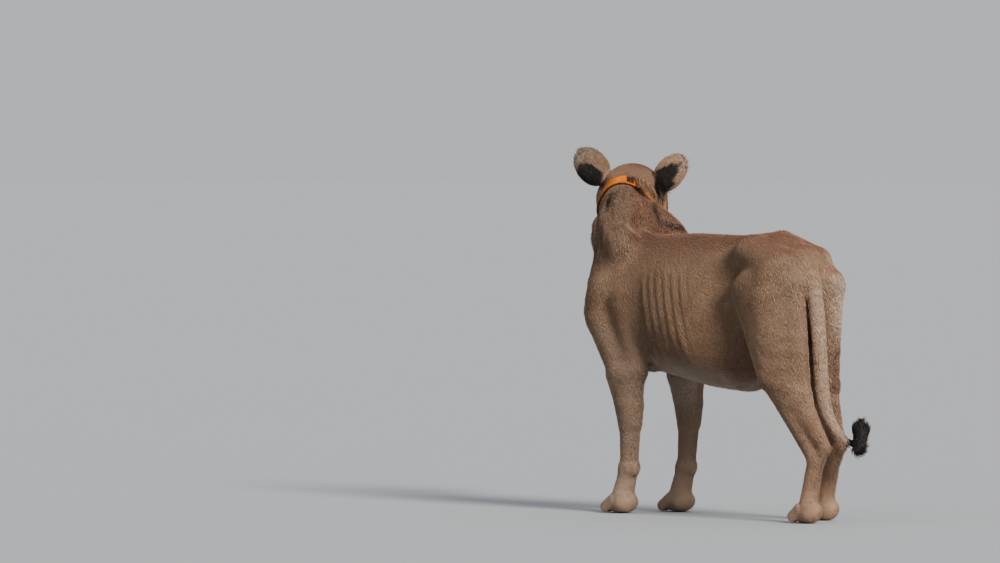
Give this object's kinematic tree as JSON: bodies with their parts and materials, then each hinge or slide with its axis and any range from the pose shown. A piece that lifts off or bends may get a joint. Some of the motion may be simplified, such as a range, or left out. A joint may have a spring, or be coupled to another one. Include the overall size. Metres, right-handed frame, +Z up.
{
  "type": "lioness",
  "caption": "Standing life-size lioness looking over her right shoulder side, short tawny coat, dark tail tuft, leather tracking collar round the neck.",
  "frame": {"origin": "on the ground under the middle of the animal's bounding box", "axes": "+Y towards the tail with the chest towards -Y, +X towards the animal's left side, +Z up; the head is turned to the animal's right"},
  "size_m": [0.5638, 1.5398, 1.1854],
  "materials": {
    "coat_back": "short tawny fur, redder along the back",
    "coat_side": "short tawny fur, paler towards the belly",
    "coat_leg": "very short tawny fur",
    "coat_ear": "short fur, dark patch behind, pale rim",
    "coat_tuft": "long black-brown hair",
    "eye": "glossy amber with a round pupil",
    "collar_leather": "worn orange-brown leather, matt",
    "collar_housing": "moulded resin, matt brown",
    "collar_steel": "dull steel"
  },
  "bodies": {
    "root": {"head": "coat_side", "neck": "coat_side", "chest": "coat_side", "belly": "coat_side", "rump": "coat_back", "ear_left": "coat_ear", "ear_right": "coat_ear", "upper_arm_left": "coat_side", "upper_arm_right": "coat_side", "forearm_left": "coat_leg", "forearm_right": "coat_leg", "fore_paw_left": "coat_leg", "fore_paw_right": "coat_leg", "thigh_left": "coat_back", "thigh_right": "coat_back", "shank_left": "coat_leg", "shank_right": "coat_leg", "hind_paw_left": "coat_leg", "hind_paw_right": "coat_leg", "tail_root": "coat_back", "tail_middle": "coat_back", "tail_end": "coat_back", "tail_tuft": "coat_tuft", "eye_left": "eye", "eye_right": "eye", "collar_strap": "collar_leather", "collar_housing": "collar_housing", "collar_plate": "collar_steel"}
  },
  "joints": []
}
